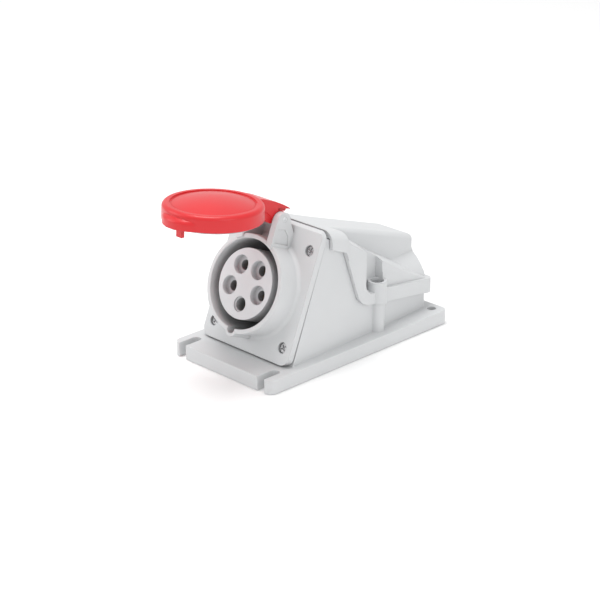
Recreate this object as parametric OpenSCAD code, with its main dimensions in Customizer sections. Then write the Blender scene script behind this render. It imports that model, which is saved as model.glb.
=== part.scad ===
// Angled surface-mounting power socket outlet: a box on a mounting plate, a
// screwed rear cover, a tilted flange with a round five-pole socket and a
// hinged lid, shown open. Millimetres, +Z up from the wall side of the plate.

/* [Mounting plate] */
// Width of the plate
plate_w = 101; // [98:0.5:108]
// Length of the plate
plate_l = 185; // [183:0.5:195]
// Thickness of the plate
plate_t = 10.8; // [9:0.1:11]
// Radius of the plate's upright corners
plate_r = 6; // [3:0.5:7]
// Distance between the two rear holes, and between the two front slots
hole_pitch = 81; // [79:0.5:83]
// Diameter of the rear holes and width of the slots
hole_d = 6.8; // [5:0.1:7.2]
// Rear hole centre to the plate's rear edge
hole_back = 8; // [7:0.5:9]
// Depth of the slots from the plate's front edge
slot_len = 17; // [12:0.5:18]

/* [Box] */
// Width of the box at the socket end
box_front_w = 87.6; // [87:0.1:89]
// Width of the box at the cover screws
box_mid_w = 79; // [78:0.1:80.5]
// Width of the box at the cable end
box_back_w = 68; // [67.6:0.1:70]
// Rear wall of the box to the plate's rear edge
back_margin = 6.8; // [6.5:0.1:9]
// Corner radius at the cable end
back_r = 5; // [4:0.5:7]
// Wall thickness of the box
wall = 3; // [2.5:0.1:3.2]
// Floor thickness of the box
floor_t = 3; // [2.5:0.1:5]
// Height of the box rim that stands up inside the cover
rim = 5; // [4:0.1:6]

/* [Socket position] */
// Lean of the socket face from upright, degrees
tilt = 22.2; // [21.6:0.1:22.8]
// Socket mouth centre to the plate's front edge
mouth_y = 22.6; // [22:0.1:23.4]
// Height of the socket mouth centre above the wall
mouth_z = 62.6; // [62:0.1:63.4]

/* [Socket flange] */
// Width of the flange
flange_w = 87; // [86:0.1:88]
// Height of the flange along its face
flange_h = 94.4; // [93:0.1:95]
// Height of the flange's level top above the wall
flange_top = 100.9; // [100.4:0.1:101.2]
// Thickness of the flange
flange_t = 5; // [4.5:0.1:5.2]
// Corner radius of the flange
flange_r = 7; // [5:0.5:8]
// Thickness of the seal behind the flange
seal_t = 1.5; // [1.2:0.1:1.8]
// Distance between the flange screws, both ways
screw_pitch = 70; // [69:0.1:71]
// Flange face to the socket mouth
collar_len = 18; // [17:0.1:19]
// Diameter of the socket mouth
mouth_d = 64.5; // [64:0.1:65]
// Wall thickness of the collar
collar_wall = 3.25; // [3:0.05:3.5]
// Depth of the space for the plug's skirt
cup_depth = 41; // [40:0.1:42]

/* [Contacts] */
// Diameter of the contact carrier
carrier_d = 50.7; // [50:0.1:51]
// Carrier face behind the socket mouth
face_inset = 1.8; // [1.2:0.1:2.5]
// Pitch circle of the five contacts
pitch_d = 29.6; // [29.2:0.1:30]
// Diameter of the recess at a phase or neutral hole
recess_d = 13.6; // [13:0.1:14]
// Depth of that recess
recess_depth = 4.6; // [3:0.1:5]
// Diameter of a phase or neutral entry hole
phase_hole_d = 7.5; // [6.5:0.1:8]
// Diameter of the earth entry hole
earth_hole_d = 9.4; // [8.6:0.1:9.6]
// Bore of a phase or neutral sleeve
phase_bore_d = 5; // [4.8:0.05:5.2]
// Bore of the earth sleeve
earth_bore_d = 7; // [6.8:0.05:7.2]

/* [Rear cover] */
// Wall thickness of the cover
cover_wall = 2.6; // [2.4:0.1:2.8]
// How far the cover's lip stands out from the box
lip_out = 3; // [2.6:0.1:3.4]
// Height of the lip band
lip_h = 11; // [10:0.5:12]
// How much further the lip stands out at the cable end
lip_back = 2.4; // [2:0.1:2.8]
// Fall of the trunk's flat top towards the cable end, degrees
top_fall = 17.8; // [17.4:0.1:18.2]
// Height of the trunk's top at its front edge
top_z = 99.8; // [99.4:0.1:100.4]
// Width of the trunk at the cable end
trunk_w = 37; // [36:0.5:40]
// Radius of the arched end of the cover
arch_r = 34.1; // [33.5:0.1:34.2]
// Height of the arch centre
arch_z = 22.3; // [21.5:0.1:23]
// Diameter of the cable entry
entry_d = 25; // [20:0.5:25.5]
// Height of the cable entry's centre
entry_z = 47; // [46:0.1:47.4]

/* [Cover screws] */
// Cover screw to the centre plane
tower_x = 39; // [38.6:0.1:39.4]
// Cover screw to the plate's front edge
tower_y = 118; // [117:0.5:119]
// Height of the screw tower's top
tower_top = 49.4; // [48:0.1:51]
// Outside diameter of the screw tower
tower_d = 14.2; // [13:0.1:14.6]

/* [Lid] */
// Diameter of the lid
lid_d = 69.8; // [69.4:0.1:70.4]
// Height of the lid's skirt
skirt_h = 8.2; // [7.8:0.1:8.6]
// Rise of the lid's domed centre
dome_h = 4; // [3:0.1:5]
// Opening of the lid as drawn, degrees from shut
open_angle = 71; // [60:1:80]
// Hinge pin above the socket axis
hinge_up = 51; // [50.6:0.1:51.4]
// Hinge pin behind the socket mouth
hinge_back = 5.4; // [5.1:0.1:5.7]
// Diameter of the hinge pin
pin_d = 4; // [3.6:0.1:4.2]
// Gap between the two hinge ears
ear_gap = 24; // [23:0.5:25]
// Thickness of a hinge ear
ear_t = 5; // [4:0.1:5.5]

/* [Hidden] */
// Running clearance of the hinge pin in the lid
pin_play = 0.05;
// Small gap between mating mouldings
fit_gap = 0.4;
// Curve fineness
$fn = 96;

// Outside diameter of the collar
collar_d = mouth_d + 2 * collar_wall;
// Depth of the box's front frame behind the socket mouth
frame_d = collar_len + flange_t + seal_t;
// Thickness of the box's front frame
frame_t = 4;
// Top edge of the box's front frame above the socket axis
frame_top = 46;
// End of the box
box_end = plate_l - back_margin;
// Start and end of the cover's trunk
trunk_y = 66;
trunk_end = box_end + 0.9;
// Front edge of the cover's hood, and the hood's height over the trunk
hood_y = 65.1;
hood_rise = 0.9;
// Upper end of the flange's back above the socket axis
flange_up = (flange_top - mouth_z + (collar_len + flange_t) * sin(tilt)) / cos(tilt);
// Gap between the flange's lower edge and the plate
foot_gap = 1.3;
// Depth of the flange screws' seats
seat_depth = 3.6;
// Bore, screw and seat sizes
opening_r = collar_d / 2 + 0.7;
cup_back = cup_depth + 3;
carrier_flange_t = 3;
carrier_flange_r = 31;
carrier_wall = 2.3;
carrier_back = cup_back + carrier_flange_t;
// Back of the carrier's face, where the sleeves end
face_back = 12;
back_t = 8;
// Plastic left under the heads of the holder's screws
head_seat = 2;
retain_r = 28.9;
tube_wall = 1.2;
sleeve_wall = 2;
sleeve_tail = 13;
// Nose that centres each sleeve in its hole of the carrier
sleeve_nose = 0.6;
nose_play = 0.15;
bore_len = 34;
hinge_r = 5.4;
// The ears' round ends lie a little below the pin
ear_r = 6.4;
ear_drop = 1.7;
// Lid when shut: skirt above the mouth, centre below the socket axis
lid_lift = 1.6;
lid_drop = 0.8;
lid_wall = 1.5;
seal_gap = 0.3;
nose_len = 7.8;
finger_r = 16;
finger_out = 3.4;
finger_drop = 3.2;
lid_edge_r = 3;
lid_top = lid_lift + skirt_h;
dome_r = 28.4;
dome_foot = 2.2;
dome_ball = (dome_r * dome_r + dome_h * dome_h) / (2 * dome_h);
groove_w = 1.2;
leg_seat = 2.6;
// Screws: head radius, head height, shank radius, shank length
cover_screw = [4.2, 3, 2, 26];
flange_screw = [3.5, 2, 1.9, 14];
holder_screw = [2.7, 1.9, 1.2, 7.2];
// Blocks that cut or clip a shape reach at least this far
clear_w = plate_w + 20;
clear_h = top_z + 30;
ear_in = ear_gap / 2;
ear_out = ear_in + ear_t;
angles = [270, 342, 54, 126, 198];
earth = 0;

// Parting line of the box and the cover, seen from the side: a steep line at
// the socket end and a gently falling line at the cable end
steep_a = 20.4;
steep_p = [79.5, 82.0];
fall_b = 9.5;
fall_p = [110, 33.9];
part_r = 17;
steep_d = [sin(steep_a), -cos(steep_a)];
steep_n = [cos(steep_a), sin(steep_a)];
fall_n = [sin(fall_b), cos(fall_b)];

// Crown of the cover's shoulders: radius, mean fall, half of the bend, and the bend point in the side view
crown_r = 150;
crown_a = 31.9;
bend_a = 1.9;
bend_p = [126, 67.4];

// Point of the side view at a depth behind the mouth and a height up the face
function face_pt(depth, up) = [mouth_y + depth * cos(tilt) + up * sin(tilt),
                               mouth_z - depth * sin(tilt) + up * cos(tilt)];
function part_corner(off) =
    let (a = steep_p + off * steep_n, b = fall_p + off * fall_n)
    a + steep_d * (((b - a) * fall_n) / (steep_d * fall_n));
function on_steep(p, dir, off) =
    p + dir * (((steep_p + off * steep_n - p) * steep_n) / (dir * steep_n));
function fall_z(y, off) = fall_p[1] + off / cos(fall_b) - (y - fall_p[0]) * tan(fall_b);

// Frames

module from_front() {
    translate([0, -plate_l / 2, 0]) children();
}

module socket_frame() {
    from_front() translate([0, mouth_y, mouth_z]) rotate([90 - tilt, 0, 0]) children();
}

module lid_frame() {
    socket_frame() translate([0, hinge_up, -hinge_back]) rotate([-open_angle, 0, 0])
        translate([0, -hinge_up, hinge_back]) children();
}

module side_prism(w) {
    from_front() rotate([90, 0, 90]) linear_extrude(w, center = true) children();
}

module both_sides() {
    children();
    mirror([1, 0, 0]) children();
}

// Shared outlines

module rounded_rect(w, h, r) {
    square([w - 2 * r, h], center = true);
    square([w, h - 2 * r], center = true);
    for (x = [-1, 1], y = [-1, 1]) translate([x * (w / 2 - r), y * (h / 2 - r)]) circle(r);
}

module box_plan(off, rear) {
    wf = box_front_w / 2 + off;
    wm = box_mid_w / 2 + off;
    wr = box_back_w / 2 + off;
    yr = box_end + off + rear;
    r = back_r + off;
    phi = atan2(wm - wr, yr - tower_y);
    xc = wr - r * (1 - sin(phi)) / cos(phi);
    bend = [for (i = [0:8]) let (a = phi + (90 - phi) * i / 8) [xc + r * cos(a), yr - r + r * sin(a)]];
    polygon(concat([[-wf, 20], [wf, 20], [wm, tower_y]], bend,
                   [for (i = [8:-1:0]) [-bend[i][0], bend[i][1]]], [[-wm, tower_y]]));
}

module plan_prism(off, rear = 0) {
    from_front() linear_extrude(clear_h) box_plan(off, rear);
}

// Side view of all that lies on the box's side of the parting line, moved by off
module box_side(off, top) {
    lead = face_pt(frame_d, top);
    peak = on_steep(lead, [cos(tilt), -sin(tilt)], off);
    c = part_corner(part_r);
    r = part_r - off;
    low = face_pt(frame_d, -(mouth_z - frame_d * sin(tilt) - 2) / cos(tilt));
    bend = [for (i = [0:12]) let (a = 180 + steep_a + (90 - steep_a - fall_b) * i / 12) c + r * [cos(a), sin(a)]];
    polygon(concat([low, lead, peak], bend, [[box_end + 40, fall_z(box_end + 40, off)], [box_end + 40, 2]]));
}

// Side view of what the cover leaves to the box
module cover_cut_side() {
    k = part_corner(0);
    c = part_corner(part_r);
    ta = c - part_r * steep_n;
    tb = c - part_r * fall_n;
    polygon([[-60, -20], [-60, steep_p[1] + (steep_p[0] + 60) * tan(tilt)], steep_p, ta, k, tb,
             [box_end + 40, fall_z(box_end + 40, 0)], [box_end + 40, -20]]);
    difference() {
        polygon([ta - steep_n, part_corner(-1), tb - fall_n, c]);
        translate(c) circle(part_r);
    }
}

// Cross recess for a screw head, cut downwards from z = 0
module cross_recess(d, depth) {
    for (a = [0, 90]) rotate([0, 0, a]) translate([0, 0, -depth / 2 + 0.5])
        cube([d, d * 0.22, depth + 1], center = true);
}

module screw(size) {
    head_r = size[0];
    head_h = size[1];
    difference() {
        union() {
            translate([0, 0, -head_h]) cylinder(r = head_r, h = head_h);
            translate([0, 0, -head_h - size[3]]) cylinder(r = size[2], h = size[3]);
        }
        cross_recess(head_r * 1.3, head_h * 0.6);
    }
}

// Box

module plate() {
    from_front() translate([0, plate_l / 2, 0]) linear_extrude(plate_t) rounded_rect(plate_w, plate_l, plate_r);
}

module frame_bosses(r, from_d, to_d) {
    socket_frame() for (x = [-1, 1], y = [-1, 1])
        translate([x * screw_pitch / 2, y * screw_pitch / 2, -to_d]) cylinder(r = r, h = to_d - from_d);
}

module base_box() {
    color([0.82, 0.83, 0.84]) difference() {
        union() {
            difference() {
                union() {
                    plate();
                    intersection() {
                        plan_prism(0);
                        side_prism(clear_w) box_side(rim, frame_top);
                    }
                }
                // Inside of the box
                intersection() {
                    translate([0, 0, floor_t]) plan_prism(-wall);
                    socket_frame() translate([0, frame_top - 3 - 100, -frame_d - frame_t - 100])
                        cube([120, 200, 200], center = true);
                }
            }
            // Columns for the cover screws
            intersection() {
                both_sides() from_front() translate([tower_x, tower_y, 2]) cylinder(r = 5.6, h = 60);
                side_prism(clear_w) cover_cut_side();
            }
            // Screw bosses behind the front frame
            intersection() {
                frame_bosses(4.5, frame_d + 0.6, frame_d + 13);
                plan_prism(-0.5);
            }
        }
        // Opening for the socket's cup
        socket_frame() translate([0, 0, -frame_d - 20]) cylinder(r = opening_r, h = 40);
        frame_bosses(1.95, 0, frame_d + 12);
        both_sides() from_front() translate([tower_x, tower_y, plate_t]) cylinder(r = 2.05, h = 60);
        // Hollows under the plate's front end, between ribs
        from_front() for (x = [-1, 0, 1]) translate([x * 22 - 9.5, 4, -1]) cube([19, 19, plate_t - 2]);
        // Rear holes and front slots of the plate
        both_sides() from_front() {
            translate([hole_pitch / 2, plate_l - hole_back, -1]) cylinder(d = hole_d, h = plate_t + 2);
            translate([hole_pitch / 2, slot_len - hole_d / 2, -1]) cylinder(d = hole_d, h = plate_t + 2);
            translate([hole_pitch / 2 - hole_d / 2, -1, -1]) cube([hole_d, slot_len - hole_d / 2 + 1, plate_t + 2]);
        }
    }
}

// Rear cover

// Side view of all that lies under the flat top of the trunk, lowered by off
module under_top(off) {
    side_prism(clear_w) polygon([[50, 20], [200, 20], [200, top_z - off - (200 - trunk_y) * tan(top_fall)],
                                 [50, top_z - off + (trunk_y - 50) * tan(top_fall)]]);
}

// Crowned shoulders that fall towards the cable end, steeper before the bend than after it
module shoulders(off, y0, y1) {
    r = crown_r - off;
    flare = 140 * tan(bend_a);
    intersection() {
        under_top(off);
        from_front() translate([-60, y0, 6]) cube([120, y1 - y0, 112]);
        from_front() translate([0, bend_p[0], bend_p[1]]) rotate([-crown_a, 0, 0]) translate([0, 0, -crown_r])
            rotate([90, 0, 0]) rotate_extrude($fn = 240)
                polygon([[0, -140], [r + flare, -140], [r, 0], [r + flare, 140], [0, 140]]);
    }
}

module arch(off) {
    intersection() {
        from_front() translate([-60, tower_y, 6]) cube([120, 90, 112]);
        from_front() translate([0, box_end + 20, arch_z]) rotate([90, 0, 0])
            cylinder(r = arch_r - off, h = 120, $fn = 180);
    }
}

module trunk(off) {
    half_b = trunk_w / 2 - off;
    half_f = half_b + 2.5;
    y0 = trunk_y + 0.5 + off;
    y1 = trunk_end - off;
    intersection() {
        from_front() linear_extrude(clear_h) polygon([[-half_f, y0], [half_f, y0], [half_b, y1], [-half_b, y1]]);
        under_top(off);
    }
}

module hood() {
    hw = lip_out + box_front_w / 2 - 1.6;
    r = 8.5;
    intersection() {
        from_front() translate([0, trunk_y, top_z + hood_rise]) rotate([-top_fall, 0, 0]) translate([0, 40, 0]) rotate([90, 0, 0])
            linear_extrude(80) union() {
                translate([-hw, -40]) square([2 * hw, 40 - r]);
                translate([-hw + r, -40]) square([2 * hw - 2 * r, 40]);
                for (s = [-1, 1]) translate([s * (hw - r), -r]) circle(r);
            }
        from_front() translate([-clear_w / 2, hood_y, 20]) cube([clear_w, 82 - hood_y, 100]);
    }
}

// Recess beside each screw tower
module pockets(grow) {
    y0 = tower_y - 16.1 - grow;
    y1 = tower_y + 4.4 + grow;
    z0 = 42.5 - grow;
    r = 9 + grow;
    both_sides() from_front() translate([33 - grow, 0, 0]) rotate([90, 0, 90]) linear_extrude(30) union() {
        translate([y0 + r, z0]) square([y1 - y0 - r, 70]);
        translate([y0, z0 + r]) square([y1 - y0, 70 - r]);
        translate([y0 + r, z0 + r]) circle(r);
    }
}

module towers(r) {
    both_sides() from_front() translate([tower_x, tower_y, 20]) cylinder(r = r, h = tower_top - 20);
}

module cover_shell() {
    difference() {
        union() {
            intersection() {
                shoulders(0, 78, 205);
                plan_prism(0.6);
            }
            intersection() {
                arch(0);
                plan_prism(0.6);
            }
            intersection() {
                shoulders(0, 77, tower_y - 2);
                plan_prism(lip_out);
            }
            intersection() {
                plan_prism(lip_out, lip_back);
                side_prism(clear_w) polygon([[90, fall_z(90, -4)], [200, fall_z(200, -4)], [200, fall_z(200, lip_h)],
                                         [90, fall_z(90, lip_h)]]);
            }
            trunk(0);
            hood();
        }
        pockets(0);
    }
}

module cover_space() {
    difference() {
        union() {
            intersection() {
                shoulders(cover_wall, 70, 200);
                plan_prism(-2.2);
            }
            intersection() {
                arch(cover_wall);
                plan_prism(-2.2);
            }
            trunk(cover_wall);
        }
        pockets(2.4);
        towers(tower_d / 2);
    }
    intersection() {
        plan_prism(fit_gap);
        side_prism(clear_w) box_side(rim + 1.2, frame_top + 0.6);
    }
}

module rear_cover() {
    color([0.84, 0.85, 0.86]) difference() {
        union() {
            cover_shell();
            towers(tower_d / 2);
        }
        side_prism(clear_w + 20) cover_cut_side();
        cover_space();
        both_sides() from_front() translate([tower_x, tower_y, 0]) {
            translate([0, 0, tower_top - 5]) cylinder(r = 4.9, h = 10);
            cylinder(r = 2.2, h = tower_top);
        }
        from_front() translate([0, trunk_end + 10, entry_z]) rotate([90, 0, 0]) cylinder(d = entry_d, h = 20);
    }
}

module cover_seal() {
    // A band on the rim with an eye around each cover screw
    color([0.12, 0.12, 0.12]) intersection() {
        difference() {
            plan_prism(0);
            difference() {
                plan_prism(-2);
                both_sides() from_front() translate([tower_x, tower_y, 0]) cylinder(r = cover_screw[2] + 2.4, h = clear_h);
            }
            both_sides() from_front() translate([tower_x, tower_y, -1]) cylinder(r = cover_screw[2] + 0.3, h = clear_h + 2);
        }
        side_prism(clear_w) difference() {
            box_side(rim + 1.2, frame_top);
            box_side(rim, frame_top + 1);
        }
        from_front() translate([-clear_w / 2, steep_p[0] - 0.5, plate_t]) cube([clear_w, plate_l, clear_h]);
    }
}

module cover_screws() {
    color([0.75, 0.75, 0.76]) both_sides() from_front() translate([tower_x, tower_y, tower_top - 2])
        screw(cover_screw);
}

module cable_grommet() {
    wall_in = trunk_end - cover_wall;
    wall_out = trunk_end;
    color([0.16, 0.16, 0.17]) from_front() translate([0, 0, entry_z]) rotate([-90, 0, 0]) difference() {
        union() {
            translate([0, 0, wall_in - 2]) cylinder(d = entry_d + 3, h = 2);
            translate([0, 0, wall_in]) cylinder(d = entry_d, h = wall_out - wall_in);
            translate([0, 0, wall_out]) cylinder(d1 = entry_d + 3, d2 = entry_d + 1, h = 1.8);
        }
        translate([0, 0, wall_in - 3]) cylinder(d = entry_d - 6, h = 5.4);
        for (d = [8, 13]) translate([0, 0, wall_out + 1]) difference() {
            cylinder(d = d + 1, h = 2);
            translate([0, 0, -1]) cylinder(d = d, h = 4);
        }
    }
}

// Socket flange with collar, cup and hinge ears

module key_groove(r, h) {
    translate([0, -mouth_d / 2 - 0.6, -h]) cylinder(r = r, h = h);
}

// Sections of the ear are drawn as height up the face by distance out of the mouth
module ear_prism(x0, t) {
    translate([x0, 0, 0]) rotate([90, 0, 90]) linear_extrude(t) children();
}

module ear_outline() {
    c = [hinge_up - ear_drop, 0.3 - hinge_back];
    root = mouth_d / 2 - 4;
    translate(c) circle(ear_r);
    polygon([[c[0], c[1] + ear_r], [root, c[1] + ear_r], [root, -collar_len - 1], [c[0] - 7.7, -collar_len - 1],
             [c[0] + 1.2, c[1] - ear_r + 0.15]]);
}

module socket_flange() {
    rb = collar_d / 2;
    ri = mouth_d / 2;
    color([0.83, 0.84, 0.85]) difference() {
        union() {
            // Flange with a level top
            intersection() {
                socket_frame() translate([0, (flange_up - flange_h / 2) / 2, -collar_len - flange_t])
                    linear_extrude(flange_t) rounded_rect(flange_w, flange_up + flange_h / 2, flange_r);
                from_front() translate([-clear_w / 2, 0, 0]) cube([clear_w, plate_l, flange_top]);
            }
            socket_frame() {
                // Collar with a soft root and rim, and the cup behind the flange
                rotate_extrude() difference() {
                    union() {
                        translate([0, -cup_back]) square([rb, cup_back - 0.8]);
                        translate([0, -0.8]) square([rb - 0.8, 0.8]);
                        translate([rb - 0.8, -0.8]) circle(0.8);
                        translate([rb, -collar_len - 0.5]) square([3, 3.5]);
                    }
                    translate([rb + 3, -collar_len + 3]) circle(3);
                }
                key_groove(5.6, collar_len + 1);
                both_sides() difference() {
                    ear_prism(ear_in, ear_t) ear_outline();
                    translate([0, 0, -40]) cylinder(r = ri + 1, h = 60);
                }
            }
        }
        socket_frame() {
            translate([0, 0, -cup_depth]) cylinder(r = ri, h = cup_depth + 10);
            translate([0, 0, -cup_back - 1]) cylinder(r = carrier_d / 2 + 0.15, h = 10);
            translate([0, 0, 1]) key_groove(3.4, cup_depth - 4);
            // Hinge pin holes, and a shallow panel on each ear's outer side
            translate([-30, hinge_up, -hinge_back]) rotate([0, 90, 0]) cylinder(d = pin_d, h = 60);
            both_sides() ear_prism(ear_out - 0.8, 5)
                polygon([[33.6, -1.4], [43.2, -1.4], [43.8, -8.6], [40, -13.2], [33.6, -15.4]]);
            // Flange screws
            for (x = [-1, 1], y = [-1, 1]) translate([x * screw_pitch / 2, y * screw_pitch / 2, 0]) {
                translate([0, 0, -collar_len - seat_depth]) cylinder(r = 3.9, h = 6);
                translate([0, 0, -40]) cylinder(r = 2.2, h = 40);
            }
            // Screw holes of the carrier in the cup's back
            at_retainers() translate([0, 0, -cup_back - 1]) cylinder(r = 1.25, h = 3.2);
        }
        // The flange's lower edge stays clear of the plate
        from_front() translate([-60, -20, plate_t + foot_gap - 40]) cube([120, 120, 40]);
    }
}

module flange_seal() {
    color([0.1, 0.1, 0.1]) difference() {
        socket_frame() translate([0, 0, -frame_d]) linear_extrude(seal_t) difference() {
            rounded_rect(flange_w - 2.4, 2 * frame_top - 1.2, flange_r - 1.2);
            circle(opening_r);
            for (x = [-1, 1], y = [-1, 1]) translate([x * screw_pitch / 2, y * screw_pitch / 2]) circle(2.3);
        }
        from_front() translate([-60, -20, plate_t + 0.4 - 40]) cube([120, 120, 40]);
    }
}

module flange_screws() {
    color([0.75, 0.75, 0.76]) socket_frame() for (x = [-1, 1], y = [-1, 1])
        translate([x * screw_pitch / 2, y * screw_pitch / 2, -collar_len - seat_depth + flange_screw[1]])
            rotate([0, 0, 20 + 35 * x + 20 * y]) screw(flange_screw);
}

// Contact carrier, terminal holder and contacts

module at_contact(i) {
    rotate([0, 0, angles[i]]) translate([pitch_d / 2, 0, 0]) children();
}

function bore_r(i) = (i == earth ? earth_bore_d : phase_bore_d) / 2;
function sleeve_r(i) = bore_r(i) + sleeve_wall;
function hole_r(i) = (i == earth ? earth_hole_d : phase_hole_d) / 2;
function shoulder_r(i) = sleeve_r(i) + 1;

// Three holes for the screws of the terminal holder
module at_retainers() {
    for (a = [30, 150, 270]) rotate([0, 0, a]) translate([retain_r, 0, 0]) children();
}

module contact_carrier() {
    color([0.83, 0.83, 0.84]) socket_frame() difference() {
        union() {
            translate([0, 0, -cup_back]) cylinder(d = carrier_d, h = cup_back - face_inset);
            translate([0, 0, -carrier_back]) cylinder(r = carrier_flange_r, h = carrier_flange_t);
        }
        // Hollow behind the face
        translate([0, 0, -carrier_back - 1]) cylinder(r = carrier_d / 2 - carrier_wall, h = carrier_back + 1 - face_back);
        for (i = [0:4]) at_contact(i) {
            translate([0, 0, -face_inset - (i == earth ? 1.6 : recess_depth)])
                cylinder(d = i == earth ? earth_hole_d + 1.8 : recess_d, h = 20);
            translate([0, 0, -face_back - 1]) cylinder(r = hole_r(i), h = 20);
        }
        at_retainers() translate([0, 0, -carrier_back - 1]) cylinder(r = 1.7, h = carrier_flange_t + 2);
    }
}

// Plate behind the carrier with a tube around each sleeve
module terminal_holder() {
    color([0.2, 0.2, 0.21]) socket_frame() difference() {
        union() {
            translate([0, 0, -carrier_back - back_t]) cylinder(r = carrier_flange_r, h = back_t);
            for (i = [0:4]) at_contact(i) translate([0, 0, -carrier_back - 1])
                cylinder(r = shoulder_r(i) + 0.15 + tube_wall, h = carrier_back + 1 - face_back - 0.3);
        }
        for (i = [0:4]) at_contact(i) {
            translate([0, 0, -carrier_back - back_t - 1]) cylinder(r = sleeve_r(i) + 0.1, h = back_t + 2);
            translate([0, 0, -carrier_back]) cylinder(r = shoulder_r(i) + 0.15, h = carrier_back);
        }
        at_retainers() translate([0, 0, -carrier_back - back_t - 1]) {
            cylinder(r = 1.7, h = back_t + 2);
            cylinder(r = 2.9, h = back_t + 1 - head_seat);
        }
        // Openings between the contacts
        for (i = [0:4]) rotate([0, 0, angles[i] + 36]) translate([20.5, 0, -carrier_back - back_t - 1])
            cylinder(r = 2.6, h = back_t + 2);
    }
}

module holder_screws() {
    color([0.7, 0.7, 0.71]) socket_frame() at_retainers()
        translate([0, 0, -carrier_back - head_seat - 0.1 - holder_screw[1]]) rotate([180, 0, 0]) screw(holder_screw);
}

module sleeve(i) {
    front = -face_back - 0.2;
    tail = -carrier_back - back_t - sleeve_tail;
    color([0.83, 0.7, 0.38]) socket_frame() at_contact(i) difference() {
        union() {
            translate([0, 0, tail]) cylinder(r = sleeve_r(i), h = front - tail);
            translate([0, 0, -carrier_back]) cylinder(r = shoulder_r(i), h = 2);
            translate([0, 0, front - 1]) cylinder(r = hole_r(i) - nose_play, h = 1 + sleeve_nose);
        }
        translate([0, 0, front - bore_len]) cylinder(r = bore_r(i), h = bore_len + 6);
        // Two slots make the mouth of the sleeve springy
        for (a = [0, 90]) rotate([0, 0, a]) translate([0, 0, front - 6.5]) cube([0.7, 20, 16], center = true);
        // Ring groove
        translate([0, 0, front - 5]) difference() {
            cylinder(r = 20, h = 1.6);
            translate([0, 0, -1]) cylinder(r = sleeve_r(i) - 0.6, h = 4);
        }
        // Wire hole and threaded hole of the terminal
        translate([0, 0, tail - 1]) cylinder(r = 2.1, h = sleeve_tail - 1);
        translate([0, 0, tail + 5.5]) rotate([0, 90, 0]) cylinder(r = 1.75, h = 20);
    }
}

module sleeve_rings() {
    color([0.6, 0.6, 0.62]) socket_frame() for (i = [0:4]) at_contact(i) translate([0, 0, -face_back - 0.2 - 5]) difference() {
        cylinder(r = sleeve_r(i), h = 1.6);
        translate([0, 0, -1]) cylinder(r = sleeve_r(i) - 0.6, h = 4);
        translate([-1, 0, -1]) cube([2, 10, 4]);
    }
}

module terminal_screws() {
    tail = -carrier_back - back_t - sleeve_tail;
    color([0.72, 0.72, 0.73]) socket_frame() for (i = [0:4]) at_contact(i) translate([0, 0, tail + 5.5])
        rotate([0, 90, 0]) difference() {
            union() {
                translate([0, 0, 1.2]) cylinder(r = 1.75, h = 5.6);
                translate([0, 0, sleeve_r(i)]) cylinder(r = 2.8, h = 2.6);
            }
            translate([-5, -0.4, sleeve_r(i) + 1.4]) cube([10, 0.8, 3]);
        }
}

// Lid and hinge

module hinge_pin() {
    color([0.76, 0.77, 0.78]) socket_frame() translate([-ear_out, hinge_up, -hinge_back]) rotate([0, 90, 0])
        cylinder(d = pin_d, h = 2 * ear_out);
}

module arm_outline() {
    hu = hinge_up;
    hw = -hinge_back;
    root = lid_d / 2 - lid_drop;
    polygon([[root - 4, lid_top + 1], [root - 2.6, lid_top + 1.8], [hu - 15.9, hw + 16.3], [hu - 4.5, hw + 12.6],
             [hu + 3.4, hw + 9], [hu + 9.4, hw + 5.7], [hu + 10.1, hw + 4.8], [hu + 9.1, hw + 2.5],
             [hu + 4.3, hw + 3.3], [hu, hw - 2], [hu - 5.2, hw - 1], [hu - 9, hw + 3.6],
             [root + 2.8, lid_lift + 0.2], [root - 4, lid_lift + 0.2]]);
    translate([hu, hw]) circle(hinge_r);
}

// Ball of the domed centre, cut to a round of radius r that starts at height z0
module dome(ball, r, z0) {
    intersection() {
        translate([0, 0, lid_top + dome_foot + dome_h - dome_ball]) sphere(ball, $fn = 240);
        translate([0, 0, z0]) cylinder(r = r, h = 30);
    }
}

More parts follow.
